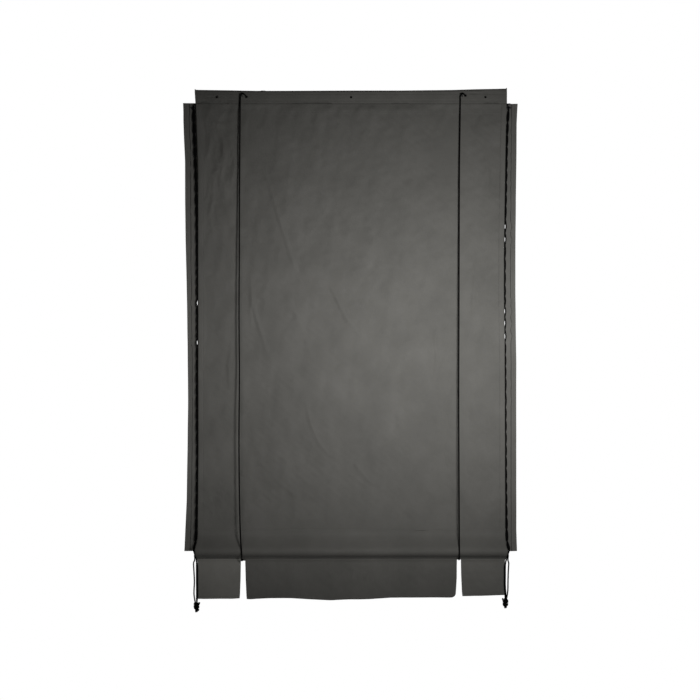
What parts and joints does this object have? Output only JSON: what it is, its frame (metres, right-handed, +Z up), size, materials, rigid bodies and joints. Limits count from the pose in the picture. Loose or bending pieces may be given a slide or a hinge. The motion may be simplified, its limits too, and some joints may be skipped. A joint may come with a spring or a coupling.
{
  "type": "cord-lifted roll-up fabric blind",
  "caption": "Roll-up canvas blind with a hemmed head batten, front lift cords, a rod in a bottom tunnel, a split tail, loose side strips and knotted pull cords.",
  "frame": {"origin": "centre fixing hole, where it opens at the back face of the head batten", "axes": "+Z up, +Y towards the wall behind the blind (the front faces -Y), +X to the right seen from the front"},
  "size_m": [1.068, 0.0481, 1.6665],
  "materials": {
    "cloth": "matt coated dark grey canvas",
    "cord": "braided black cord",
    "webbing": "black woven webbing",
    "grip_tape": "black hook-and-loop tape",
    "batten": "planed softwood",
    "eyelet": "black lacquered, satin",
    "black_wire": "black lacquered wire",
    "rod": "mill finish",
    "cap": "black moulded"
  },
  "bodies": {
    "head": {"batten": "batten", "top_hem": "cloth", "fixing_eyelets": "eyelet", "front_cord_eyelets": "eyelet", "front_screw_eyes": "black_wire", "rear_screw_eyes": "black_wire", "corner_rings": "black_wire", "corner_tabs": "webbing", "main_panel": "cloth", "side_strip_left": "cloth", "side_strip_right": "cloth", "grip_tape_left": "grip_tape", "grip_tape_right": "grip_tape", "front_strand_left": "cord", "front_strand_right": "cord", "back_strand_left": "cord", "back_strand_right": "cord", "front_run_left": "cord", "front_run_right": "cord", "back_run_left": "cord", "back_run_right": "cord", "pull_pair_left": "cord", "pull_pair_right": "cord"},
    "roll": {"sling_bight_left": "cord", "sling_bight_right": "cord", "tunnel": "cloth", "tail_left": "cloth", "tail_centre": "cloth", "tail_right": "cloth"},
    "rod": {"rod": "rod", "rod_cap_left": "cap", "rod_cap_right": "cap"},
    "pull_left": {"pull_loop_left": "cord", "pull_knot_left": "cord"},
    "pull_right": {"pull_loop_right": "cord", "pull_knot_right": "cord"}
  },
  "joints": [
    {"name": "roll_lift", "type": "slide", "parent": "head", "child": "roll", "axis": [0, 0, 1], "range_m": [0, 1.3], "deforming": ["main_panel", "front_strand_left", "front_strand_right", "back_strand_left", "back_strand_right"]},
    {"name": "rod_turn", "type": "hinge", "parent": "roll", "child": "rod", "pos_m": [0, -0.0273, -1.452], "axis": [1, 0, 0], "range_deg": [-3830, 0]},
    {"name": "pull_left", "type": "slide", "parent": "head", "child": "pull_left", "axis": [0, 0, -1], "range_m": [0, 1.3], "deforming": ["pull_pair_left"]},
    {"name": "pull_right", "type": "slide", "parent": "head", "child": "pull_right", "axis": [0, 0, -1], "range_m": [0, 1.3], "deforming": ["pull_pair_right"]}
  ],
  "couplings": [
    {"joint": "rod_turn", "follows": "roll_lift", "rad_per_m": -51.3},
    {"joint": "pull_left", "follows": "roll_lift", "ratio": 1},
    {"joint": "pull_right", "follows": "roll_lift", "ratio": 1}
  ]
}
